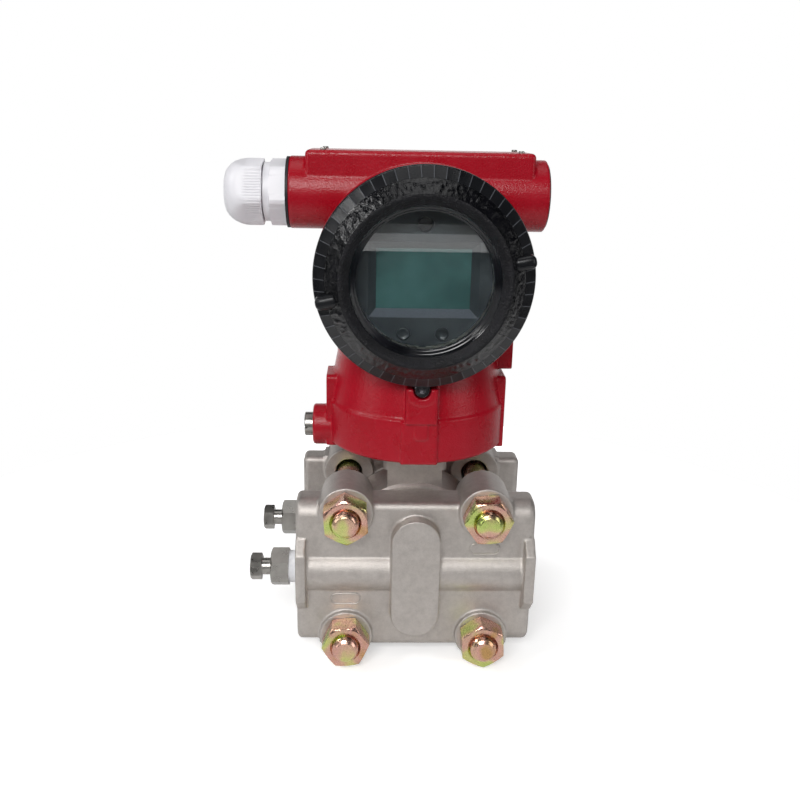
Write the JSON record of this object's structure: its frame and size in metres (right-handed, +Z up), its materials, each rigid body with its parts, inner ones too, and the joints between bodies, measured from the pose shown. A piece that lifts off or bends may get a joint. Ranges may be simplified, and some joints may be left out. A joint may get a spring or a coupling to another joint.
{
  "type": "differential pressure transmitter",
  "caption": "Pressure transmitter with a round windowed housing on a neck above a capsule bolted between flanges; cable gland, bleed screws and process ports.",
  "frame": {"origin": "centre of the overall box on the plane that the lower flange bosses stand on", "axes": "+X to the right-hand ports seen from the display side, +Y from the display towards the rear cover, +Z up"},
  "size_m": [0.1402, 0.1134, 0.2306],
  "materials": {
    "red_paint": "gloss",
    "black_paint": "satin",
    "stainless": "bead_blasted",
    "zinc_plate": "yellow_zinc",
    "machined_steel": "satin",
    "rubber_black": "matte",
    "ptfe": "matte",
    "nylon_white": "satin",
    "clear_glass": "gloss",
    "module_grey": "matte",
    "screen": "gloss",
    "board_green": "satin",
    "component_black": "matte",
    "terminal_black": "matte",
    "plug_black": "satin"
  },
  "bodies": {
    "sensor": {"front_flange": "stainless", "rear_flange": "stainless", "front_flange_gasket": "ptfe", "rear_flange_gasket": "ptfe", "flange_bolts": "zinc_plate", "flange_nuts": "zinc_plate", "front_vent_plug": "machined_steel", "rear_vent_plug": "machined_steel", "thread_tape": "ptfe", "sensor_capsule": "stainless", "front_diaphragm": "machined_steel", "rear_diaphragm": "machined_steel", "neck_seal": "rubber_black", "sensor_connector": "component_black"},
    "housing": {"housing": "red_paint", "housing_waist": "red_paint", "display_module": "module_grey", "display_screen": "screen", "module_screw": "machined_steel", "main_board": "board_green", "module_posts": "machined_steel", "board_components": "component_black", "bulkhead_feedthrough": "ptfe", "terminal_block": "terminal_black", "terminal_screws": "machined_steel", "gland_gasket": "rubber_black", "gland_body": "nylon_white", "gland_seal": "rubber_black", "blanking_plug": "plug_black", "housing_lock_grub": "machined_steel", "earth_washer": "machined_steel", "earth_screw": "machined_steel", "rivets": "machined_steel"},
    "front_cover_thread": {"front_cover_seal": "rubber_black"},
    "front_cover": {"front_cover": "black_paint", "window_gasket": "rubber_black", "window_glass": "clear_glass", "glass_retainer": "machined_steel"},
    "rear_cover_thread": {"rear_cover_seal": "rubber_black"},
    "rear_cover": {"rear_cover": "black_paint"},
    "zero_adjust_screw": {"zero_adjust_screw": "machined_steel"},
    "front_bleed_screw": {"front_bleed_screw": "machined_steel"},
    "rear_bleed_screw": {"rear_bleed_screw": "machined_steel"},
    "front_lock_screw": {"front_lock_screw": "machined_steel"},
    "rear_lock_screw": {"rear_lock_screw": "machined_steel"},
    "gland_nut": {"gland_nut": "nylon_white"},
    "left_key": {"left_key": "module_grey"},
    "right_key": {"right_key": "module_grey"}
  },
  "joints": [
    {"name": "housing_swivel", "type": "hinge", "parent": "sensor", "child": "housing", "pos_m": [0.01495, 0.00085, 0.1032], "axis": [0, 0, 1], "range_deg": [-180, 180]},
    {"name": "front_cover_travel", "type": "slide", "parent": "housing", "child": "front_cover_thread", "axis": [0, -1, 0], "range_m": [0, 0.01]},
    {"name": "front_cover_turn", "type": "hinge", "parent": "front_cover_thread", "child": "front_cover", "pos_m": [0.01495, -0.03915, 0.1812], "axis": [0, -1, 0], "range_deg": [0, 1800]},
    {"name": "rear_cover_travel", "type": "slide", "parent": "housing", "child": "rear_cover_thread", "axis": [0, 1, 0], "range_m": [0, 0.01]},
    {"name": "rear_cover_turn", "type": "hinge", "parent": "rear_cover_thread", "child": "rear_cover", "pos_m": [0.01495, 0.04085, 0.1812], "axis": [0, 1, 0], "range_deg": [0, 1800]},
    {"name": "zero_adjust_turn", "type": "hinge", "parent": "housing", "child": "zero_adjust_screw", "pos_m": [-0.03505, -0.00415, 0.1059], "axis": [-1, 0, 0], "range_deg": [-360, 360]},
    {"name": "front_bleed_turn", "type": "hinge", "parent": "sensor", "child": "front_bleed_screw", "pos_m": [-0.05305, -0.02615, 0.0432], "axis": [-1, 0, 0], "range_deg": [0, 360]},
    {"name": "rear_bleed_turn", "type": "hinge", "parent": "sensor", "child": "rear_bleed_screw", "pos_m": [-0.05305, 0.02785, 0.0432], "axis": [-1, 0, 0], "range_deg": [0, 360]},
    {"name": "front_lock_turn", "type": "hinge", "parent": "housing", "child": "front_lock_screw", "pos_m": [0.01555, -0.04115, 0.1339], "axis": [0, -1, 0], "range_deg": [0, 720]},
    {"name": "rear_lock_turn", "type": "hinge", "parent": "housing", "child": "rear_lock_screw", "pos_m": [0.01555, 0.04285, 0.1339], "axis": [0, 1, 0], "range_deg": [0, 720]},
    {"name": "gland_nut_turn", "type": "hinge", "parent": "housing", "child": "gland_nut", "pos_m": [-0.06005, 0.00085, 0.2112], "axis": [-1, 0, 0], "range_deg": [0, 1080]},
    {"name": "left_key_press", "type": "slide", "parent": "housing", "child": "left_key", "axis": [0, 1, 0], "range_m": [0, 0.0004], "stiffness_N_per_m": 1000},
    {"name": "right_key_press", "type": "slide", "parent": "housing", "child": "right_key", "axis": [0, 1, 0], "range_m": [0, 0.0004], "stiffness_N_per_m": 1000}
  ],
  "couplings": [
    {"joint": "front_cover_travel", "follows": "front_cover_turn", "m_per_rad": 0.000318},
    {"joint": "rear_cover_travel", "follows": "rear_cover_turn", "m_per_rad": 0.000318}
  ]
}
